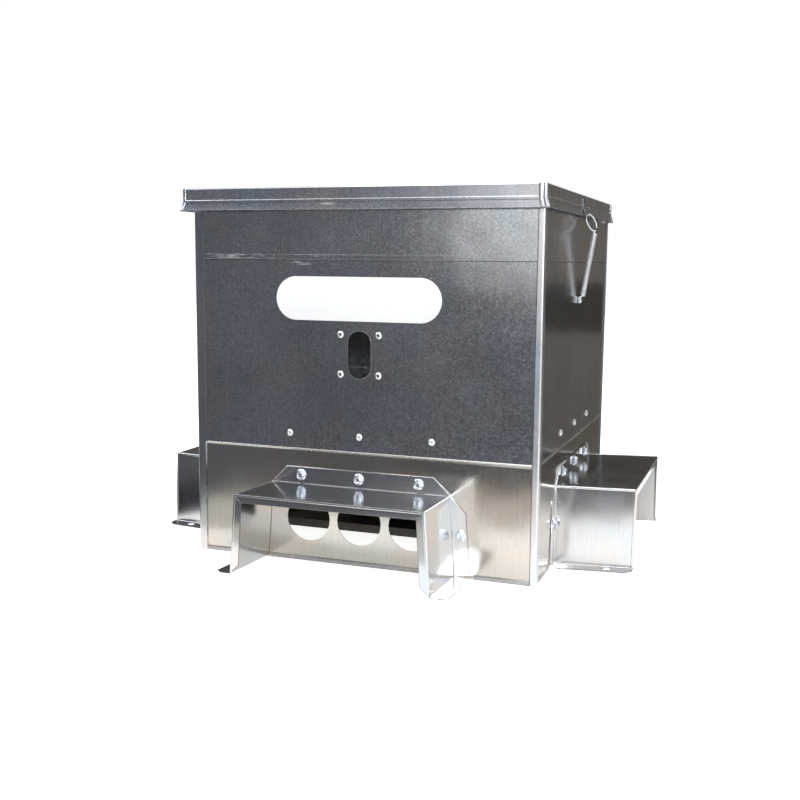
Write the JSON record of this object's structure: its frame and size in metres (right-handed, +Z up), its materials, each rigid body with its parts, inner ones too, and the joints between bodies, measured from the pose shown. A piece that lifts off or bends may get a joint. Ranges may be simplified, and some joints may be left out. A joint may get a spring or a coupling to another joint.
{
  "type": "game bird feeder",
  "caption": "Square sheet-metal gravity feeder box with round feeding holes near its base under a folded hood on each side, and a spring-held lift-off lid.",
  "frame": {"origin": "on the ground under the middle of the box", "axes": "+Z up; the front, with the sight window, faces -Y; the springs are on +X and -X"},
  "size_m": [0.733, 0.733, 0.5263],
  "materials": {
    "galvanised_sheet": "bright hot-dip galvanised sheet with a fine spangle",
    "zinc_plated_screw": "bright zinc plating",
    "aluminium_rivet": "plain, slightly dulled",
    "spring_wire": "bright zinc-plated wire",
    "clear_plastic": "clear, glossy"
  },
  "bodies": {
    "feeder": {"base_skirt": "galvanised_sheet", "hopper_body": "galvanised_sheet", "top_collar": "galvanised_sheet", "feed_funnel": "galvanised_sheet", "feed_tray": "galvanised_sheet", "tray_bracket_right": "galvanised_sheet", "tray_bracket_left": "galvanised_sheet", "corner_angle_front_right": "galvanised_sheet", "corner_angle_rear_right": "galvanised_sheet", "corner_angle_rear_left": "galvanised_sheet", "corner_angle_front_left": "galvanised_sheet", "hood_front": "galvanised_sheet", "hood_right": "galvanised_sheet", "hood_rear": "galvanised_sheet", "hood_left": "galvanised_sheet", "hood_screw_front_1": "zinc_plated_screw", "hood_screw_front_2": "zinc_plated_screw", "hood_screw_front_3": "zinc_plated_screw", "hood_screw_front_4": "zinc_plated_screw", "hood_screw_front_5": "zinc_plated_screw", "hood_screw_right_1": "zinc_plated_screw", "hood_screw_right_2": "zinc_plated_screw", "hood_screw_right_3": "zinc_plated_screw", "hood_screw_right_4": "zinc_plated_screw", "hood_screw_right_5": "zinc_plated_screw", "hood_screw_rear_1": "zinc_plated_screw", "hood_screw_rear_2": "zinc_plated_screw", "hood_screw_rear_3": "zinc_plated_screw", "hood_screw_rear_4": "zinc_plated_screw", "hood_screw_rear_5": "zinc_plated_screw", "hood_screw_left_1": "zinc_plated_screw", "hood_screw_left_2": "zinc_plated_screw", "hood_screw_left_3": "zinc_plated_screw", "hood_screw_left_4": "zinc_plated_screw", "hood_screw_left_5": "zinc_plated_screw", "spring_screw_right": "zinc_plated_screw", "spring_screw_left": "zinc_plated_screw", "funnel_rivet_front_1": "aluminium_rivet", "funnel_rivet_front_2": "aluminium_rivet", "funnel_rivet_front_3": "aluminium_rivet", "funnel_rivet_right_1": "aluminium_rivet", "funnel_rivet_right_2": "aluminium_rivet", "funnel_rivet_right_3": "aluminium_rivet", "funnel_rivet_rear_1": "aluminium_rivet", "funnel_rivet_rear_2": "aluminium_rivet", "funnel_rivet_rear_3": "aluminium_rivet", "funnel_rivet_left_1": "aluminium_rivet", "funnel_rivet_left_2": "aluminium_rivet", "funnel_rivet_left_3": "aluminium_rivet", "window_rivet_1": "aluminium_rivet", "window_rivet_2": "aluminium_rivet", "window_rivet_3": "aluminium_rivet", "window_rivet_4": "aluminium_rivet", "sight_window": "clear_plastic"},
    "lid": {"lid": "galvanised_sheet", "lid_catch_right": "galvanised_sheet", "lid_catch_left": "galvanised_sheet"},
    "spring_right": {"lid_spring_right": "spring_wire"},
    "spring_left": {"lid_spring_left": "spring_wire"}
  },
  "joints": [
    {"name": "lid_lift", "type": "slide", "parent": "feeder", "child": "lid", "axis": [0, 0, 1], "range_m": [0, 0.12]},
    {"name": "spring_right_swing", "type": "hinge", "parent": "feeder", "child": "spring_right", "pos_m": [0.2547, 0, 0.372], "axis": [-1, 0, 0], "range_deg": [0, 170]},
    {"name": "spring_left_swing", "type": "hinge", "parent": "feeder", "child": "spring_left", "pos_m": [-0.2547, 0, 0.372], "axis": [1, 0, 0], "range_deg": [0, 170]}
  ],
  "couplings": [
    {"joint": "spring_right_swing", "follows": "lid_lift", "rad_per_m": 24.7},
    {"joint": "spring_left_swing", "follows": "lid_lift", "rad_per_m": 24.7}
  ]
}
